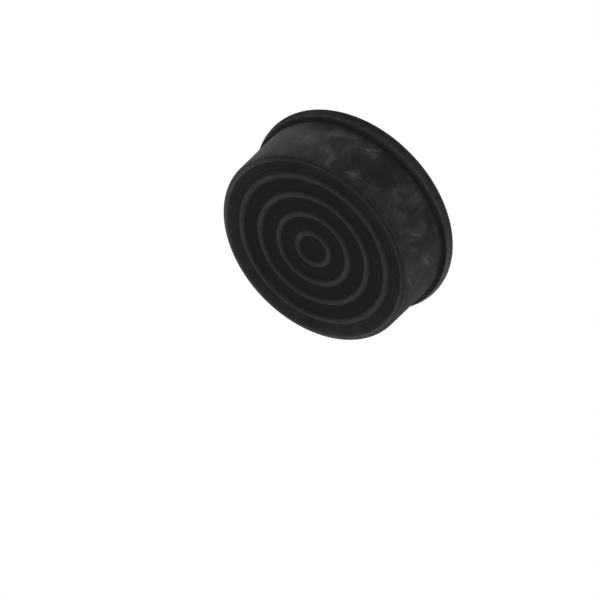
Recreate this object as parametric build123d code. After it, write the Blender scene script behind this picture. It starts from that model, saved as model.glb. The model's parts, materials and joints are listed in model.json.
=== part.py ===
from build123d import *
from math import floor, radians, tan
import os

# Rubber foot, one moulding: a shallow cup that presses over the end of a round tube leg.
# The tread lies down on z = 0, the socket opens upwards and Z is the axis. Lengths are in millimetres.

# Socket
tube_diameter = 32.0         # the leg that the foot takes
socket_squeeze = 0.4         # the socket is moulded this much smaller than the leg, so it grips
socket_depth = 10.3
socket_corner_bevel = 0.9    # between the socket's floor and its wall
mouth_bevel = 0.8            # leads the leg in

# Body
wall_thickness = 4.2         # at the tread end, where the wall is thinnest
floor_thickness = 4.0        # from the tread face to the socket's floor
wall_draft_degrees = 1.2     # the outside widens towards the mouth
tread_crown_width = 1.6      # round the outside the tread face leans back from the ground
tread_crown_rise = 0.12
tread_edge_radius = 0.5

# Ridges on the tread
first_ridge_radius = 3.4
ridge_pitch = 4.1
ridge_width = 1.1            # where it leaves the tread face
ridge_crest = 0.25           # the flat that meets the ground
ridge_height = 0.2

# Lip round the mouth
lip_height = 2.65            # from the end of the wall to the mouth
lip_step = 0.8               # how far the sloping front stands out from the wall
lip_step_height = 0.65
lip_flare = 0.5              # how much further the rim leans out above the step
lip_band = 0.5               # upright band at the widest place
lip_edge_bevel = 0.25

# Radii that follow
socket_radius = (tube_diameter - socket_squeeze) / 2
tread_radius = socket_radius + wall_thickness
tread_flat_radius = tread_radius - tread_crown_width

# Heights that follow
tread_face = ridge_height
tread_edge = tread_face + tread_crown_rise
socket_floor = tread_face + floor_thickness
mouth = socket_floor + socket_depth
lip_root = mouth - lip_height

# The wall leans out from the tread to the lip, and the lip carries on from where it ends
wall_end_radius = tread_radius + (lip_root - tread_edge) * tan(radians(wall_draft_degrees))
lip_step_reach = wall_end_radius + lip_step
lip_reach = lip_step_reach + lip_flare


def ridge_radii():
    """Centre lines of as many whole ridges as the flat of the tread has room for."""
    room = tread_flat_radius - ridge_width / 2 - first_ridge_radius
    return [first_ridge_radius + ridge_pitch * k for k in range(floor(room / ridge_pitch) + 1)]


def ridge_points(radius):
    """One ridge across, from its inner foot over the flat crest to its outer foot."""
    return [
        (radius - ridge_width / 2, tread_face),
        (radius - ridge_crest / 2, 0),
        (radius + ridge_crest / 2, 0),
        (radius + ridge_width / 2, tread_face),
    ]


def foot_section():
    """Half of the foot cut through its axis: tread, wall, lip, mouth and socket."""
    tread = [point for radius in ridge_radii() for point in ridge_points(radius)]
    cup = [
        (tread_flat_radius, tread_face),
        (tread_radius, tread_edge),
        (wall_end_radius, lip_root),
        (lip_step_reach, lip_root + lip_step_height),
        (lip_reach, mouth - lip_band),
        (lip_reach, mouth - lip_edge_bevel),
        (lip_reach - lip_edge_bevel, mouth),
        (socket_radius + mouth_bevel, mouth),
        (socket_radius, mouth - mouth_bevel),
        (socket_radius, socket_floor + socket_corner_bevel),
        (socket_radius - socket_corner_bevel, socket_floor),
    ]
    start, end = (0, tread_face), (0, socket_floor)
    # only the second corner of the cup, the tread's edge, is rounded
    rounding = [0] * len(tread) + [0, tread_edge_radius] + [0] * (len(cup) - 2)
    outline = FilletPolyline(start, *tread, *cup, end, radius=rounding)
    return make_face(outline.edges() + [Line(end, start)])


def rubber_foot():
    """The whole foot, turned from its section about Z."""
    return revolve(Plane.XZ * foot_section(), Axis.Z)


os.makedirs("parts", exist_ok=True)
export_step(rubber_foot(), "parts/rubber_foot.step")
print(f"foot: {2 * lip_reach:.2f} mm across the lip, {2 * tread_radius:.2f} mm at the tread, {mouth:.2f} mm high")
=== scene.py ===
import bpy
import json
import math
import numpy as np
from mathutils import Matrix, Vector


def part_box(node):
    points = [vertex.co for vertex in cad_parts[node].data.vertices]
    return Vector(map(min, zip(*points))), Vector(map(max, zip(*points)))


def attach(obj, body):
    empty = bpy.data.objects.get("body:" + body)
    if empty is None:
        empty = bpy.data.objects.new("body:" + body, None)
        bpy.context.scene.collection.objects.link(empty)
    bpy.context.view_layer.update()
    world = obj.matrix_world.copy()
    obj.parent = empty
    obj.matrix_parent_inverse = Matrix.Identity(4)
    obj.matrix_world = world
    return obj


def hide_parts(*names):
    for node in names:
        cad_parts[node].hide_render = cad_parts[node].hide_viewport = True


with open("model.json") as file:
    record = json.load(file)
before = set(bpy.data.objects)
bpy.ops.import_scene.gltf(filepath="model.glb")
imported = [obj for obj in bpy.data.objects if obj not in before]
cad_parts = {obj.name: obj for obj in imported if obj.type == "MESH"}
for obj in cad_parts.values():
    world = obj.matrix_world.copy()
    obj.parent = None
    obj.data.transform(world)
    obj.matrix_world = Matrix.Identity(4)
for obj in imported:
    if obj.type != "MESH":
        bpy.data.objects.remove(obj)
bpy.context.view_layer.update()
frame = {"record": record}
mm = 0.001
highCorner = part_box("rubber_foot")[1]
sockets = [m for m in frame["record"]["mounts"] if m["name"] == "leg_socket"]
socketRadius = sockets[0]["dims"]["r_mm"]
lipReach = highCorner.x / mm      # widest place of the lip
footHeight = highCorner.z / mm    # from the ridge crests to the mouth
print("frame loaded, foot", round(2 * lipReach, 2), "mm across and", round(footHeight, 2), "mm high")

# The foot: one section in millimetres, radius first and height second, turned about Z
footShape = {
    "treadRadius": 20.0,
    "treadEdge": 0.5,
    "crownWidth": 1.6,       # round the outside the tread face leans back from the ground
    "crownRise": 0.12,
    "crownRound": 5.0,
    "firstRidge": 3.4,
    "ridgePitch": 4.1,
    "ridgeCount": 4,
    "ridgeWidth": 1.1,
    "ridgeCrest": 0.25,
    "ridgeHeight": 0.2,
    "crestRound": 0.4,
    "ridgeRootRound": 0.5,
    "lipHeight": 2.65,
    "lipStep": 0.8,
    "lipStepHeight": 0.65,
    "lipFlare": 0.5,
    "lipBand": 0.5,
    "lipRootRound": 0.2,
    "lipFrontRound": 0.2,
    "lipEdgeRound": 0.3,
    "mouthBevel": 0.8,
    "mouthRound": 0.15,
    "floorLevel": 4.2,
    "floorRound": 1.2,
    "around": 360,           # faces round the axis
    "roundSteps": 7,         # points on each rounding
    "longest": 0.8,          # longest run between two points of the section
}
lipRoot = footHeight - footShape["lipHeight"]                      # where the wall ends
flatEnd = footShape["treadRadius"] - footShape["crownWidth"]       # where the tread begins to lean back


def roundedLine(corners, rounds, steps):
    # straight runs between the corners, each corner replaced by the arc that touches both runs
    corners = np.asarray(corners, float)
    out = [corners[:1]]
    for k in range(1, len(corners) - 1):
        toLast = corners[k - 1] - corners[k]
        toNext = corners[k + 1] - corners[k]
        toLast = toLast / np.linalg.norm(toLast)
        toNext = toNext / np.linalg.norm(toNext)
        half = np.arccos(np.clip(toLast @ toNext, -1, 1)) / 2
        middle = (toLast + toNext) / np.linalg.norm(toLast + toNext)
        centre = corners[k] + middle * rounds[k] / np.sin(half)
        first = corners[k] + toLast * rounds[k] / np.tan(half) - centre
        last = corners[k] + toNext * rounds[k] / np.tan(half) - centre
        sweep = np.arctan2(first[0] * last[1] - first[1] * last[0], first @ last)
        turn = np.linspace(0, sweep, steps)[:, None]
        side = np.array([-first[1], first[0]])
        out.append(centre + np.cos(turn) * first + np.sin(turn) * side)
    out.append(corners[-1:])
    return np.concatenate(out)


def filledIn(line, longest):
    # adds even points so that no run is longer than the given length
    runs = np.linalg.norm(np.diff(line, axis=0), axis=1)
    parts = np.maximum(1, np.ceil(runs / longest)).astype(int)
    at = np.concatenate([k + np.arange(n) / n for k, n in enumerate(parts)] + [[len(runs)]])
    index = np.arange(len(line))
    return np.stack([np.interp(at, index, line[:, 0]), np.interp(at, index, line[:, 1])], 1)


def footSection(s):
    # each corner with its rounding, from the middle of the tread round the outside to the socket's floor
    face = s["ridgeHeight"]
    foot, crest = s["ridgeWidth"] / 2, s["ridgeCrest"] / 2
    points = [((0.0, face), 0)]
    for k in range(s["ridgeCount"]):
        r = s["firstRidge"] + k * s["ridgePitch"]
        points += [
            ((r - foot, face), s["ridgeRootRound"]),
            ((r - crest, 0), s["crestRound"]),
            ((r + crest, 0), s["crestRound"]),
            ((r + foot, face), s["ridgeRootRound"]),
        ]
    lipFront = lipReach - s["lipFlare"]
    points += [
        ((flatEnd, face), s["crownRound"]),
        ((s["treadRadius"], face + s["crownRise"]), s["treadEdge"]),
        ((lipFront - s["lipStep"], lipRoot), s["lipRootRound"]),
        ((lipFront, lipRoot + s["lipStepHeight"]), s["lipFrontRound"]),
        ((lipReach, footHeight - s["lipBand"]), s["lipFrontRound"]),
        ((lipReach, footHeight), s["lipEdgeRound"]),
        ((socketRadius + s["mouthBevel"], footHeight), s["mouthRound"]),
        ((socketRadius, footHeight - s["mouthBevel"]), s["mouthRound"]),
        ((socketRadius, s["floorLevel"]), s["floorRound"]),
        ((0.0, s["floorLevel"]), 0),
    ]
    corners, rounds = zip(*points)
    return filledIn(roundedLine(corners, rounds, s["roundSteps"]), s["longest"])


def turned(name, section, around):
    # x = r cos a, y = r sin a, z = h for every section point and angle; single points close both ends
    inner = section[1:-1]
    rows = len(inner)
    angle = np.arange(around) * 2 * np.pi / around
    r, h = inner[:, :1], np.broadcast_to(inner[:, 1:], (rows, around))
    grid = np.stack([r * np.cos(angle), r * np.sin(angle), h], 2)
    poles = [[0, 0, section[0, 1]], [0, 0, section[-1, 1]]]
    verts = np.concatenate([grid.reshape(-1, 3), poles]) * mm
    row, col = np.meshgrid(np.arange(rows - 1), np.arange(around), indexing="ij")
    nextCol = (col + 1) % around
    quads = np.stack([row * around + col, row * around + nextCol,
                      (row + 1) * around + nextCol, (row + 1) * around + col], 2).reshape(-1, 4)
    ring = np.arange(around)
    ringNext = (ring + 1) % around
    first = np.stack([ringNext, ring, np.full(around, rows * around)], 1)
    end = (rows - 1) * around
    last = np.stack([end + ring, end + ringNext, np.full(around, rows * around + 1)], 1)
    mesh = bpy.data.meshes.new(name)
    mesh.from_pydata(verts.tolist(), [], quads.tolist() + first.tolist() + last.tolist())
    mesh.polygons.foreach_set("use_smooth", np.ones(len(mesh.polygons), bool))
    mesh.update()
    return mesh


section = footSection(footShape)
footMesh = turned("rubber_foot_moulding", section, footShape["around"])
foot = bpy.data.objects.new("rubber_foot_moulding", footMesh)
bpy.context.scene.collection.objects.link(foot)
print("foot turned,", len(section), "section points,", len(footMesh.polygons), "faces")

# Black rubber, with pale ridge bands that are partly painted light, a painted highlight on the rim and along
# the lip, painted shade under the lip, grey bloom that becomes a painted highlight towards -X, scuffs on the
# wall and fine turning marks on the tread
rubberLook = {
    "black": 0.0088,
    "gloss": 0.2,
    "treadRough": 0.52,
    "ridgeRough": 0.9,
    "wallRough": 0.7,
    "streakRough": 0.2,      # how much the streaks change the roughness
    "endRough": 0.14,        # added towards +X
    "dullRough": 1.0,        # the lip towards -X
    "markRelief": 0.6,       # height of the turning marks against that of the grain
    "bumpStrength": 0.25,
    "bumpDepth": 0.03,       # mm
    # ridges' pale grey: worn crests, with painted light on their -Y flanks and at both ends of X
    "ridgeGrey": 0.082,
    # rim's pale grey: a painted highlight along the tread's edge
    "rimGrey": 0.135,
    "dustGrey": 0.045,
    "markGrey": 0.055,
    # bloom's grey, evened out into a painted highlight towards -X
    "bloomGrey": 0.056,
    "scuffGrey": 0.1,
    # painted shade: near black in the groove under the lip
    "grooveGrey": 0.003,
    "stepGrey": 0.03,
    "socketGrey": 0.03,
    # lip's pale grey: a painted highlight along its front, stronger towards +X
    "lipGrey": 0.07,
}

# noises that several masks share, with scales per mm
rubberNoise = {
    "cloud": {"scale": 0.26, "stretch": (1, 1, 0.7), "detail": 3.0, "rough": 0.6},
    "streak": {"scale": 0.8, "stretch": (1, 1, 0.3)},
    "grain": {"scale": 2.4, "detail": 3.0, "rough": 0.6},
    "blotch": {"scale": 0.9, "detail": 3.0, "rough": 0.6},
}
noiseMiddle = 0.5    # the value that every noise lies about


def wire(tree, kind, sockets, out=0, **settings):
    # one node: settings are its own fields, sockets are numbers or the outputs that feed them
    node = tree.nodes.new(kind)
    for name, value in settings.items():
        setattr(node, name, value)
    for name, value in sockets.items():
        if isinstance(value, bpy.types.NodeSocket):
            tree.links.new(value, node.inputs[name])
        else:
            node.inputs[name].default_value = value
    return node.outputs[out]


def calc(tree, operation, first, second=0.0, third=0.0):
    # one step of arithmetic
    return wire(tree, "ShaderNodeMath", {0: first, 1: second, 2: third}, operation=operation)


def product(tree, *factors):
    # all the factors multiplied
    out = factors[0]
    for factor in factors[1:]:
        out = calc(tree, "MULTIPLY", out, factor)
    return out


def fade(tree, value, start, end, low=0.0, high=1.0):
    # low at start, high at end, smooth between
    sockets = {"Value": value, "From Min": start, "From Max": end, "To Min": low, "To Max": high}
    return wire(tree, "ShaderNodeMapRange", sockets, interpolation_type="SMOOTHSTEP")


def fadeFrom(tree, value, zero, start, end, low=0.0, high=1.0):
    # the same, with start and end counted from zero
    return fade(tree, value, zero + start, zero + end, low, high)


def blend(tree, factor, first, second):
    # first where the factor is 0, second where it is 1 or more
    return wire(tree, "ShaderNodeMix", {"Factor": factor, "A": first, "B": second}, data_type="FLOAT")


def noise(tree, place, scale, stretch=(1, 1, 1), detail=2.0, rough=0.5):
    # cloudy values, drawn out along an axis where its stretch is under 1
    at = wire(tree, "ShaderNodeMapping", {"Vector": place, "Scale": stretch})
    sockets = {"Vector": at, "Scale": scale, "Detail": detail, "Roughness": rough}
    return wire(tree, "ShaderNodeTexNoise", sockets)


def rubberPlace(tree):
    # where a point lies: mm along x, y and z, mm from the axis, angle from -Y towards +X and the sine of it;
    # lipZ is the height less the amount by which the lip's shades climb towards +X
    place = wire(tree, "ShaderNodeTexCoord", {}, out="Object")
    inMm = wire(tree, "ShaderNodeVectorMath", {0: place, "Scale": 1 / mm}, operation="SCALE")
    x, y, z = wire(tree, "ShaderNodeSeparateXYZ", {0: inMm}).node.outputs
    flat = wire(tree, "ShaderNodeCombineXYZ", {0: x, 1: y})
    radius = wire(tree, "ShaderNodeVectorMath", {0: flat}, out="Value", operation="LENGTH")
    around = calc(tree, "ARCTAN2", x, calc(tree, "MULTIPLY", y, -1.0))
    side = calc(tree, "DIVIDE", x, radius)
    lipZ = calc(tree, "SUBTRACT", z, fade(tree, side, *lipShading["climb"]))
    at = {"mm": inMm, "flat": flat, "y": y, "z": z, "radius": radius}
    at |= {"around": around, "side": side, "lipZ": lipZ}
    return at | {name: noise(tree, inMm, **kind) for name, kind in rubberNoise.items()}


# Wear and painted light on the tread. Here and below, values in brackets are a start, an end and,
# if they aren't 0 and 1, the amounts there
treadWearAndLight = {
    "face": (0.75, 0.4),                    # height under which the tread's finish lies
    "bandShift": -0.15,                     # the ridges' pale bands are moved a little towards -Y, as painted light on their -Y flanks
    "band": (0.8, 0.0),                     # from the middle of a ridge
    "bandStop": (-0.7, -1.2),               # from the end of the flat
    "bandStreak": (0.2, 0.6, 0.75, 1.0),
    "bandEnds": (0.4, 0.95, 0.8, 1.0),      # stronger at both ends of X, as painted light from the sides
    "rimShift": 0.35,                       # the rim's painted highlight reaches further in towards -Y
    "rimInside": (0.15, 0.75),              # from the end of the flat
    "rimOutside": (1.2, 0.75, 0.55, 1.0),
    "rimStreak": (0.25, 0.6, 0.6, 1.0),
    "rimNear": (-12.0, 0.0, 0.36, 1.0),     # weaker towards -Y
    "rimFar": (9.0, 18.0, 1.0, 0.65),       # and a little towards +Y
    "dustFrom": 14.5,                       # radius
    "dustFar": (-14.0, 12.0, 0.15, 0.5),    # more towards +Y
    "dustCloud": (0.3, 0.6, 0.4, 1.0),
    "dustEnd": (0.4, 0.95, 1.0, 1.7),       # and towards +X
    "markPitch": 0.8,
    "markWave": 0.8,                        # mm by which the turning marks wander
    "markLine": (0.2, 1.0),
    "markBreaks": {"scale": 0.13, "detail": 1.0},
    "markBroken": (0.4, 0.58, 0.0, 0.5),
    "markFrom": (12.0, 16.5),               # radius
    "markNear": (4.0, -10.0, 0.4, 1.0),     # stronger towards -Y
}


def radiusFrom(tree, at, y):
    # distance from an axis that is moved along Y by the given mm
    moved = wire(tree, "ShaderNodeVectorMath", {0: at["flat"], 1: (0, -y, 0)})
    return wire(tree, "ShaderNodeVectorMath", {0: moved}, out="Value", operation="LENGTH")


def treadMasks(tree, at, masking):
    # pale bands along the ridges, worn and partly painted light, the rim's painted highlight, dust towards it
    # and turning marks, thin rings broken by noise
    radius, y, streak = at["radius"], at["y"], at["streak"]
    tread = fade(tree, at["z"], *masking["face"])
    fromFirst = calc(tree, "SUBTRACT", radiusFrom(tree, at, masking["bandShift"]), footShape["firstRidge"])
    fromRidge = calc(tree, "PINGPONG", fromFirst, footShape["ridgePitch"] / 2)
    ridge = product(tree, tread, fade(tree, fromRidge, *masking["band"]),
                    fadeFrom(tree, radius, flatEnd, *masking["bandStop"]))
    # the ridges' bands: worn crests, with painted light towards -Y and at both ends of X
    band = product(tree, ridge, fade(tree, streak, *masking["bandStreak"]),
                   fade(tree, calc(tree, "ABSOLUTE", at["side"]), *masking["bandEnds"]))
    # the rim: a painted highlight along the tread's edge, weaker towards -Y and a little towards +Y
    rimRadius = radiusFrom(tree, at, masking["rimShift"])
    rim = product(tree, tread, fadeFrom(tree, rimRadius, flatEnd, *masking["rimInside"]),
                  fadeFrom(tree, rimRadius, flatEnd, *masking["rimOutside"]),
                  fade(tree, streak, *masking["rimStreak"]),
                  fade(tree, y, *masking["rimNear"]), fade(tree, y, *masking["rimFar"]))
    dust = product(tree, tread, fade(tree, radius, masking["dustFrom"], flatEnd),
                   fade(tree, y, *masking["dustFar"]), fade(tree, at["cloud"], *masking["dustCloud"]),
                   fade(tree, at["side"], *masking["dustEnd"]))
    waved = calc(tree, "MULTIPLY_ADD", at["cloud"], masking["markWave"], radius)
    rings = calc(tree, "SINE", calc(tree, "MULTIPLY", waved, 2 * math.pi / masking["markPitch"]))
    broken = noise(tree, at["mm"], **masking["markBreaks"])
    marks = product(tree, tread, fade(tree, rings, *masking["markLine"]),
                    fade(tree, broken, *masking["markBroken"]), fade(tree, radius, *masking["markFrom"]),
                    fade(tree, y, *masking["markNear"]))
    return {"ridge": ridge, "ridgeGrey": band, "rimGrey": rim, "dustGrey": dust, "markGrey": marks}


# patches of scuffing on the wall: middle in degrees from -Y and mm up, half length and half width in mm,
# slope of the scratches in degrees, how much they bend and how strong they are
wallScuffs = [
    {"turn": -34, "up": 9.8, "long": 3.6, "wide": 1.8, "slope": 25, "bend": 0.00, "much": 0.85},
    {"turn": -15, "up": 9.6, "long": 3.2, "wide": 2.0, "slope": 45, "bend": 0.05, "much": 0.85},
    {"turn": -50, "up": 5.6, "long": 3.4, "wide": 2.4, "slope": 84, "bend": 0.04, "much": 0.60},
    {"turn": -33, "up": 3.6, "long": 3.6, "wide": 1.8, "slope": 110, "bend": 0.00, "much": 0.50},
    {"turn": -56, "up": 6.6, "long": 3.4, "wide": 1.2, "slope": 12, "bend": -0.04, "much": 0.40},
    {"turn": -64, "up": 8.2, "long": 3.6, "wide": 1.0, "slope": 4, "bend": 0.00, "much": 0.30},
    {"turn": -10, "up": 2.4, "long": 3.4, "wide": 1.5, "slope": 12, "bend": -0.05, "much": 0.75},
    {"turn": 9, "up": 6.8, "long": 3.0, "wide": 1.2, "slope": 55, "bend": 0.00, "much": 0.35},
    {"turn": 18, "up": 4.4, "long": 3.0, "wide": 1.4, "slope": 40, "bend": 0.06, "much": 0.40},
    {"turn": 33, "up": 5.0, "long": 3.6, "wide": 1.7, "slope": 58, "bend": 0.00, "much": 0.60},
    {"turn": 41, "up": 3.6, "long": 3.0, "wide": 1.4, "slope": 48, "bend": 0.00, "much": 0.45},
    {"turn": 53, "up": 7.4, "long": 3.8, "wide": 1.5, "slope": 20, "bend": 0.00, "much": 0.60},
    {"turn": 54, "up": 1.6, "long": 3.0, "wide": 1.2, "slope": 14, "bend": 0.00, "much": 0.35},
    {"turn": 108, "up": 6.5, "long": 3.4, "wide": 1.8, "slope": 70, "bend": 0.03, "much": 0.70},
    {"turn": 147, "up": 8.6, "long": 3.4, "wide": 1.7, "slope": 25, "bend": -0.06, "much": 0.70},
    {"turn": -128, "up": 4.6, "long": 3.4, "wide": 1.9, "slope": 105, "bend": 0.02, "much": 0.70},
    {"turn": -160, "up": 7.6, "long": 3.0, "wide": 1.8, "slope": 40, "bend": 0.04, "much": 0.70},
]

# soft pale smears and places where the bloom is wiped off, given in the same way
paleSmears = [
    {"turn": -46, "up": 6.6, "long": 4.4, "wide": 2.8, "slope": 30, "bend": 0.0, "much": 0.45},
    {"turn": -32, "up": 9.4, "long": 3.4, "wide": 1.6, "slope": 25, "bend": 0.0, "much": 0.50},
    {"turn": -30, "up": 2.8, "long": 3.8, "wide": 2.2, "slope": 105, "bend": 0.0, "much": 0.60},
    {"turn": -9, "up": 2.2, "long": 3.0, "wide": 1.4, "slope": 10, "bend": 0.0, "much": 0.45},
    {"turn": 13, "up": 6.4, "long": 5.6, "wide": 3.4, "slope": 70, "bend": 0.0, "much": 0.30},
    {"turn": 52, "up": 7.6, "long": 3.6, "wide": 1.8, "slope": 20, "bend": 0.0, "much": 0.20},
    {"turn": 56, "up": 1.4, "long": 4.0, "wide": 1.2, "slope": 6, "bend": 0.0, "much": 0.30},
    {"turn": 118, "up": 5.0, "long": 6.0, "wide": 3.4, "slope": 65, "bend": 0.0, "much": 0.40},
    {"turn": -140, "up": 8.0, "long": 5.0, "wide": 2.4, "slope": 20, "bend": 0.0, "much": 0.40},
]
wipedPlaces = [
    {"turn": -8, "up": 6.0, "long": 6.4, "wide": 4.0, "slope": 0, "bend": 0.0, "much": 0.70},
    {"turn": -48, "up": 10.8, "long": 6.0, "wide": 2.0, "slope": -8, "bend": 0.0, "much": 0.95},
    {"turn": -20, "up": 11.5, "long": 13.0, "wide": 1.4, "slope": 0, "bend": 0.0, "much": 0.80},
    {"turn": 43, "up": 6.2, "long": 6.4, "wide": 4.2, "slope": 80, "bend": 0.0, "much": 0.95},
    {"turn": 34, "up": 10.2, "long": 4.4, "wide": 2.2, "slope": 0, "bend": 0.0, "much": 0.90},
    {"turn": 160, "up": 5.0, "long": 6.0, "wide": 3.0, "slope": 60, "bend": 0.0, "much": 0.80},
]

# Wear on the wall, with a painted highlight towards -X
wallWearAndLight = {
    "outside": (-0.5, 0.0),                 # from the tread's radius
    "foot": (-0.8, -0.3),                   # the same, for bloom and scuffs
    "top": (0.0, -0.6),                     # from the end of the wall
    "bottom": (0.2, 1.0, 0.5, 1.0),         # height
    "wander": 2.0,                          # mm by which patches and smears stray
    "wanders": {"Scale": 0.3, "Detail": 2.0},
    "patch": (1.0, 0.15),                   # share of a patch's half size
    "scratches": {"Scale": 1.0, "Detail": 3.0, "Roughness": 0.55},
    "scratchAlong": 0.28,                   # changes per mm along a scratch
    "scuffFine": 1.5,                       # and across it
    "scuff": (0.34, 0.72),
    "scuffBlotch": (0.34, 0.58, 0.55, 1.15),
    "smearSlopes": (60, 112),               # degrees
    "smearFine": 0.9,
    "smearSwap": (0.44, 0.56),
    "smear": (0.32, 0.68, 0.65, 1.3),
    "smearStop": (2.6, 3.0),                # angle; smears would break where it jumps at +Y
    "cloud": (0.34, 0.66, 0.15, 0.75),
    "streak": (0.3, 0.7, 0.45, 1.0),
    "leftEnd": (-0.34, -0.91),              # sine of the angle
    "leftEven": 0.6,                        # how far the bloom evens out into a painted highlight towards -X
    # grey of the painted highlight towards -X
    "leftBloom": 0.42,
    "rightEnd": (0.71, 0.97),
    "rightClean": 0.6,                      # how much less of the bloom's grey there is towards +X
    "paleStreak": (0.25, 0.7, 0.3, 1.0),
    "paleCloud": (0.3, 0.65, 0.4, 1.0),
}


def slanted(tree, along, up, slope):
    # p along a line that rises at the slope and q across it
    slope = math.radians(slope)
    p = calc(tree, "MULTIPLY_ADD", up, math.sin(slope), calc(tree, "MULTIPLY", along, math.cos(slope)))
    q = calc(tree, "MULTIPLY_ADD", along, -math.sin(slope), calc(tree, "MULTIPLY", up, math.cos(slope)))
    return p, q


def rubbed(tree, p, q, seed, fine, masking):
    # noise that changes slowly along p and quickly across it, fine giving its changes per mm
    where = wire(tree, "ShaderNodeCombineXYZ", {0: calc(tree, "MULTIPLY", p, masking["scratchAlong"]),
                                                1: calc(tree, "MULTIPLY", q, fine), 2: float(seed)})
    return wire(tree, "ShaderNodeTexNoise", {"Vector": where} | masking["scratches"])


def patchMask(tree, along, up, patch, masking, scratched=False):
    # a patch bent to q = bend p p, fading to nothing at (p/long)^2 + (q/wide)^2 = 1
    u = calc(tree, "SUBTRACT", along, math.radians(patch["turn"]) * footShape["treadRadius"])
    v = calc(tree, "SUBTRACT", up, patch["up"])
    p, q = slanted(tree, u, v, patch["slope"])
    q = calc(tree, "MULTIPLY_ADD", calc(tree, "MULTIPLY", p, p), -patch["bend"], q)
    shares = wire(tree, "ShaderNodeCombineXYZ", {0: calc(tree, "DIVIDE", p, patch["long"]),
                                                 1: calc(tree, "DIVIDE", q, patch["wide"])})
    out = wire(tree, "ShaderNodeVectorMath", {0: shares}, out="Value", operation="LENGTH")
    mask = fade(tree, out, *masking["patch"], 0.0, patch["much"])
    if scratched:
        scratches = rubbed(tree, p, q, patch["turn"], masking["scuffFine"], masking)
        mask = calc(tree, "MULTIPLY", mask, fade(tree, scratches, *masking["scuff"]))
    return mask


def wallMasks(tree, at, masking):
    # bloom in clouds and in streaks up and down, more of it towards -X and evened out there into a painted
    # highlight, wiped off in places, and scuffs
    cloud, streak, blotch = at["cloud"], at["streak"], at["blotch"]
    wander = wire(tree, "ShaderNodeTexNoise", {"Vector": at["mm"]} | masking["wanders"], out="Color")
    astray, aside, _ = wire(tree, "ShaderNodeSeparateXYZ", {0: wander}).node.outputs
    along = calc(tree, "MULTIPLY_ADD", calc(tree, "SUBTRACT", astray, noiseMiddle), masking["wander"],
                 calc(tree, "MULTIPLY", at["around"], footShape["treadRadius"]))
    up = calc(tree, "MULTIPLY_ADD", calc(tree, "SUBTRACT", aside, noiseMiddle), masking["wander"], at["z"])
    kept, pale, scuffs = 1.0, 0.0, 0.0
    for patch in wipedPlaces:
        wiped = patchMask(tree, along, up, patch, masking)
        kept = calc(tree, "MULTIPLY", calc(tree, "SUBTRACT", 1.0, wiped), kept)
    for patch in paleSmears:
        pale = calc(tree, "ADD", patchMask(tree, along, up, patch, masking), pale)
    for patch in wallScuffs:
        scuffs = calc(tree, "ADD", patchMask(tree, along, up, patch, masking, scratched=True), scuffs)
    wall = fadeFrom(tree, at["radius"], footShape["treadRadius"], *masking["outside"])
    bare = product(tree, fadeFrom(tree, at["radius"], footShape["treadRadius"], *masking["foot"]),
                   fadeFrom(tree, at["lipZ"], lipRoot, *masking["top"]), fade(tree, at["z"], *masking["bottom"]))
    leftEnd = fade(tree, at["side"], *masking["leftEnd"])
    rightEnd = fade(tree, at["side"], *masking["rightEnd"])
    # smears slant one way or the other
    smears = [rubbed(tree, *slanted(tree, along, up, slope), slope, masking["smearFine"], masking)
              for slope in masking["smearSlopes"]]
    smear = fade(tree, blend(tree, fade(tree, blotch, *masking["smearSwap"]), *smears), *masking["smear"])
    atBack = fade(tree, calc(tree, "ABSOLUTE", at["around"]), *masking["smearStop"])
    fleck = blend(tree, atBack, smear, 1.0)
    mottle = product(tree, fade(tree, cloud, *masking["cloud"]), fade(tree, streak, *masking["streak"]), fleck)
    # towards -X the bloom evens out into a painted highlight
    mottle = blend(tree, calc(tree, "MULTIPLY", leftEnd, masking["leftEven"]), mottle, masking["leftBloom"])
    mottle = product(tree, mottle, kept, calc(tree, "MULTIPLY_ADD", rightEnd, -masking["rightClean"], 1.0))
    pale = product(tree, pale, fade(tree, streak, *masking["paleStreak"]),
                   fade(tree, cloud, *masking["paleCloud"]), fleck)
    bloomAndHighlight = product(tree, calc(tree, "ADD", mottle, pale), bare)
    scuffs = product(tree, scuffs, bare, fade(tree, blotch, *masking["scuffBlotch"]))
    return {"wall": wall, "rightEnd": rightEnd, "bloomGrey": bloomAndHighlight, "scuffGrey": scuffs}


# Painted shade and highlight on the lip, and where it is dull, with heights from the end of the wall unless a
# note says otherwise
lipShading = {
    "climb": (0.1, 0.9, 0.0, 0.45),         # mm by which the shades climb, by the sine of the angle
    "top": (-0.04, -0.3),                   # from the mouth
    "ends": (0.3, 0.85),                    # both ends of X
    "grooveFoot": (-0.15, 0.1),
    "grooveTop": (0.9, 0.5),
    "stepFoot": (-0.1, 0.5),
    "stepTop": (1.4, 0.7),
    "rubFoot": (0.25, 0.7),
    "frontTop": (1.6, 0.8),
    # strength of the painted highlight along the lip's front
    "frontRub": 0.18,
    "palerMost": (-0.9, 0.26, 0.0, 0.3),    # painted highlight stronger towards +X
    "palerEnd": (0.64, 0.98, 0.0, 0.7),
    "patchEnd": (0.3, 0.9, 0.0, 0.75),      # and less patchy there
    "patch": (0.32, 0.64, 0.45, 1.45),
    "grain": (0.3, 0.7, 0.8, 1.2),
    "dullFoot": (-0.3, 0.1),
    "dullEnd": (-0.8, -0.99, 0.0, 0.5),     # dull towards -X
}


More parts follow.
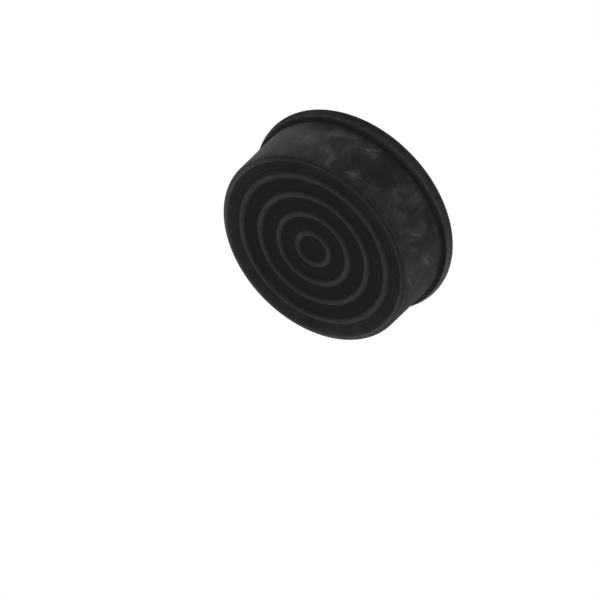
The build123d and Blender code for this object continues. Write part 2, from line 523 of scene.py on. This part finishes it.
def lipMasks(tree, at, wall, masking):
    # painted shade in the groove under the lip at its ends, a grey step between them, and a painted highlight
    # on the lip, strongest along its front and towards +X
    z, lipZ, side = at["z"], at["lipZ"], at["side"]
    outside = product(tree, wall, fadeFrom(tree, z, footHeight, *masking["top"]))
    atEnds = fade(tree, calc(tree, "ABSOLUTE", side), *masking["ends"])
    # painted shade: the groove under the lip made near black
    grooveShade = product(tree, outside, atEnds, fadeFrom(tree, lipZ, lipRoot, *masking["grooveFoot"]),
                     fadeFrom(tree, lipZ, lipRoot, *masking["grooveTop"]))
    step = product(tree, outside, fadeFrom(tree, z, lipRoot, *masking["stepFoot"]),
                   fadeFrom(tree, z, lipRoot, *masking["stepTop"]), calc(tree, "SUBTRACT", 1.0, atEnds))
    # painted highlight on the lip, along its front and towards +X
    lip = product(tree, outside, fadeFrom(tree, lipZ, lipRoot, *masking["rubFoot"]))
    front = product(tree, lip, fadeFrom(tree, lipZ, lipRoot, *masking["frontTop"]))
    pale = calc(tree, "ADD", fade(tree, side, *masking["palerMost"]), fade(tree, side, *masking["palerEnd"]))
    lipLight = calc(tree, "MULTIPLY_ADD", front, masking["frontRub"], calc(tree, "MULTIPLY", pale, lip))
    patchy = blend(tree, fade(tree, side, *masking["patchEnd"]), fade(tree, at["blotch"], *masking["patch"]), 1.0)
    lipLight = product(tree, lipLight, patchy, fade(tree, at["grain"], *masking["grain"]))
    dull = product(tree, wall, fadeFrom(tree, z, lipRoot, *masking["dullFoot"]),
                   fade(tree, side, *masking["dullEnd"]))
    return {"grooveGrey": grooveShade, "stepGrey": step, "lipGrey": lipLight, "dull": dull}


# Dust in the socket
socketWear = {
    "inside": (-0.5, -1.0),                 # from the tread's radius
    "floor": (-1.0, -0.2),                  # from the socket's floor
    "top": (-0.2, -0.04),                   # from the mouth
    "cloud": (0.35, 0.65, 0.1, 0.8),
    "blotch": (0.3, 0.65, 0.5, 1.2),
}


def socketMask(tree, at, masking):
    # faint clouds of dust in the socket and on the lip's top
    inner = product(tree, fadeFrom(tree, at["radius"], footShape["treadRadius"], *masking["inside"]),
                    fadeFrom(tree, at["z"], footShape["floorLevel"], *masking["floor"]))
    top = fadeFrom(tree, at["z"], footHeight, *masking["top"])
    return product(tree, calc(tree, "MAXIMUM", inner, top), fade(tree, at["cloud"], *masking["cloud"]),
                   fade(tree, at["blotch"], *masking["blotch"]))


def blackRubber(look):
    # near black under the greys of the worn places and of the painted highlights and shade, each by its mask,
    # with roughness and fine bump to match
    mat = bpy.data.materials.new("black_rubber")
    mat.use_nodes = True
    tree = mat.node_tree
    shader = tree.nodes["Principled BSDF"]
    shader.inputs["Specular IOR Level"].default_value = look["gloss"]
    at = rubberPlace(tree)
    masks = treadMasks(tree, at, treadWearAndLight) | wallMasks(tree, at, wallWearAndLight)
    masks |= lipMasks(tree, at, masks["wall"], lipShading) | {"socketGrey": socketMask(tree, at, socketWear)}
    # each grey is laid over the black and the greys before it; the ridge, rim, bloom and lip greys carry
    # painted highlights and the groove grey painted shade
    grey = look["black"]
    for level in ("dustGrey", "markGrey", "rimGrey", "ridgeGrey", "bloomGrey", "scuffGrey", "grooveGrey",
                  "stepGrey", "lipGrey", "socketGrey"):
        grey = blend(tree, masks[level], grey, look[level])
    tone = wire(tree, "ShaderNodeCombineColor", {0: grey, 1: grey, 2: grey})
    tree.links.new(tone, shader.inputs["Base Color"])
    rough = blend(tree, masks["wall"], look["treadRough"], look["wallRough"])
    unevenness = calc(tree, "SUBTRACT", at["streak"], noiseMiddle)
    rough = calc(tree, "MULTIPLY_ADD", unevenness, look["streakRough"], rough)
    wallEnd = product(tree, masks["rightEnd"], masks["wall"])
    rough = calc(tree, "MULTIPLY_ADD", wallEnd, look["endRough"], rough)
    rough = blend(tree, masks["ridge"], rough, look["ridgeRough"])
    rough = blend(tree, masks["dull"], rough, look["dullRough"])
    tree.links.new(rough, shader.inputs["Roughness"])
    relief = calc(tree, "MULTIPLY_ADD", masks["markGrey"], look["markRelief"], at["grain"])
    sockets = {"Height": relief, "Strength": look["bumpStrength"], "Distance": look["bumpDepth"] * mm}
    tree.links.new(wire(tree, "ShaderNodeBump", sockets), shader.inputs["Normal"])
    return mat


footMesh.materials.append(blackRubber(rubberLook))
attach(foot, "root")
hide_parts("rubber_foot")
print("foot dressed")

# Floor under the foot, seen from above only, pale near the foot and white further out; lengths in metres
floorLook = {"size": 12.0, "grey": 0.82, "rough": 0.9, "paleTo": 0.08, "whiteFrom": 0.45}


def paleFloor(look):
    # one square; its underside is clear, so that a camera below it sees the foot
    half = look["size"] / 2
    mesh = bpy.data.meshes.new("floor")
    square = [(-half, -half, 0), (half, -half, 0), (half, half, 0), (-half, half, 0)]
    mesh.from_pydata(square, [], [(0, 1, 2, 3)])
    mat = bpy.data.materials.new("pale_floor")
    mat.use_nodes = True
    tree = mat.node_tree
    shader = tree.nodes["Principled BSDF"]
    shader.inputs["Base Color"].default_value = (look["grey"],) * 3 + (1,)
    shader.inputs["Roughness"].default_value = look["rough"]
    place = wire(tree, "ShaderNodeTexCoord", {}, out="Object")
    away = wire(tree, "ShaderNodeVectorMath", {0: place}, out="Value", operation="LENGTH")
    far = fade(tree, away, look["paleTo"], look["whiteFrom"])
    white = wire(tree, "ShaderNodeEmission", {"Color": (1, 1, 1, 1), "Strength": 1.0})
    pale = wire(tree, "ShaderNodeMixShader", {0: far, 1: shader.outputs[0], 2: white})
    under = wire(tree, "ShaderNodeNewGeometry", {}, out="Backfacing")
    clear = wire(tree, "ShaderNodeBsdfTransparent", {})
    seen = wire(tree, "ShaderNodeMixShader", {0: under, 1: pale, 2: clear})
    tree.links.new(seen, tree.nodes["Material Output"].inputs["Surface"])
    mesh.materials.append(mat)
    floor = bpy.data.objects.new("floor", mesh)
    bpy.context.scene.collection.objects.link(floor)
    floor.visible_diffuse = False
    floor.visible_glossy = False
    floor.visible_transmission = False
    floor.visible_shadow = False


paleFloor(floorLook)

# Soft white light from all round, dark from straight below, dimmer high in front, stronger low at both sides
skyLook = {
    "above": 1.0,
    "below": 0.08,
    "fadeFrom": -0.72,
    "fadeTo": -0.2,
    "places": [
        {"toward": (0, -0.75, 0.66), "edge": 0.3, "core": 0.95, "times": 0.55},
        {"toward": (0.75, 0.55, -0.37), "edge": 0.78, "core": 0.97, "times": 2.0},
        {"toward": (-0.75, 0.55, -0.37), "edge": 0.78, "core": 0.97, "times": 2.0},
    ],
}


def softSky(look):
    # strength by height, times the factor of each place, whose edge and core are cosines of the angle from it
    world = bpy.data.worlds.new("studio")
    bpy.context.scene.world = world
    world.use_nodes = True
    tree = world.node_tree
    place = wire(tree, "ShaderNodeTexCoord", {}, out="Generated")
    height = wire(tree, "ShaderNodeSeparateXYZ", {0: place}, out="Z")
    level = fade(tree, height, look["fadeFrom"], look["fadeTo"], look["below"], look["above"])
    for spot in look["places"]:
        aim = Vector(spot["toward"]).normalized()
        near = wire(tree, "ShaderNodeVectorMath", {0: place, 1: aim}, out="Value", operation="DOT_PRODUCT")
        factor = fade(tree, near, spot["edge"], spot["core"], 1.0, spot["times"])
        level = calc(tree, "MULTIPLY", level, factor)
    back = tree.nodes["Background"]
    back.inputs["Color"].default_value = (1, 1, 1, 1)
    tree.links.new(level, back.inputs["Strength"])


softSky(skyLook)

# Camera: below the foot and rolled, as the photograph was taken with the tread towards it
cameraLook = {
    "azimuth": 0.0,
    "elevation": -41.35,
    "roll": 45.71,
    "distance": 0.6623,                # metres
    "lens": 216.0,
    "sensor": 36.0,
    "framePixels": 600,
    "treadPixel": (312.44, 249.68),    # where the middle of the ridges' plane lies in the photograph
}


def photoCamera(look):
    # back points from the foot to the camera; roll turns right and up about it, and the camera moves
    # sideways until the middle of the ridges' plane falls on its pixel
    azimuth, elevation, roll = (math.radians(look[k]) for k in ("azimuth", "elevation", "roll"))
    level = Vector((math.cos(azimuth), math.sin(azimuth), 0))
    outward = Vector((math.sin(azimuth), -math.cos(azimuth), 0))
    back = outward * math.cos(elevation) + Vector((0, 0, math.sin(elevation)))
    upright = back.cross(level)
    right = level * math.cos(roll) + upright * math.sin(roll)
    up = upright * math.cos(roll) - level * math.sin(roll)
    perPixel = look["distance"] * look["sensor"] / look["lens"] / look["framePixels"]
    middle = look["framePixels"] / 2
    aside = (look["treadPixel"][0] - middle) * perPixel
    above = (middle - look["treadPixel"][1]) * perPixel
    place = back * look["distance"] - right * aside - up * above
    turn = Matrix((right, up, back)).transposed().to_4x4()
    data = bpy.data.cameras.new("photo_camera")
    data.lens = look["lens"]
    data.sensor_width = look["sensor"]
    cam = bpy.data.objects.new("photo_camera", data)
    cam.matrix_world = Matrix.Translation(place) @ turn
    bpy.context.scene.collection.objects.link(cam)
    bpy.context.scene.camera = cam


photoCamera(cameraLook)
bpy.context.scene.view_settings.view_transform = "Standard"
print("floor, light and camera set")
